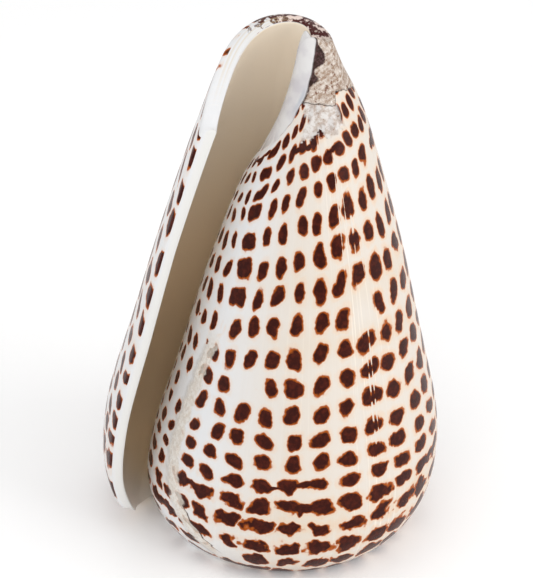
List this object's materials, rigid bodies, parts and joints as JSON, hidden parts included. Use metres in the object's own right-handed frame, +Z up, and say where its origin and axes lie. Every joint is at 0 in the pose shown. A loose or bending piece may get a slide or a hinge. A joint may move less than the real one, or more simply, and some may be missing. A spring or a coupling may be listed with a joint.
{
  "type": "cone shell",
  "caption": "Empty right-handed cone shell standing on its flat spire, with a long narrow aperture and dark spots in spiral rows.",
  "frame": {"origin": "centre of the shell's footprint at the level of its flat spire, which it stands on", "axes": "+Z up along the coiling axis towards the narrow anterior end; the aperture opens towards -Y, on the -X side"},
  "size_m": [0.067, 0.0611, 0.105],
  "materials": {
    "shell": "glossy"
  },
  "bodies": {
    "root": {"shell": "shell"}
  },
  "joints": []
}
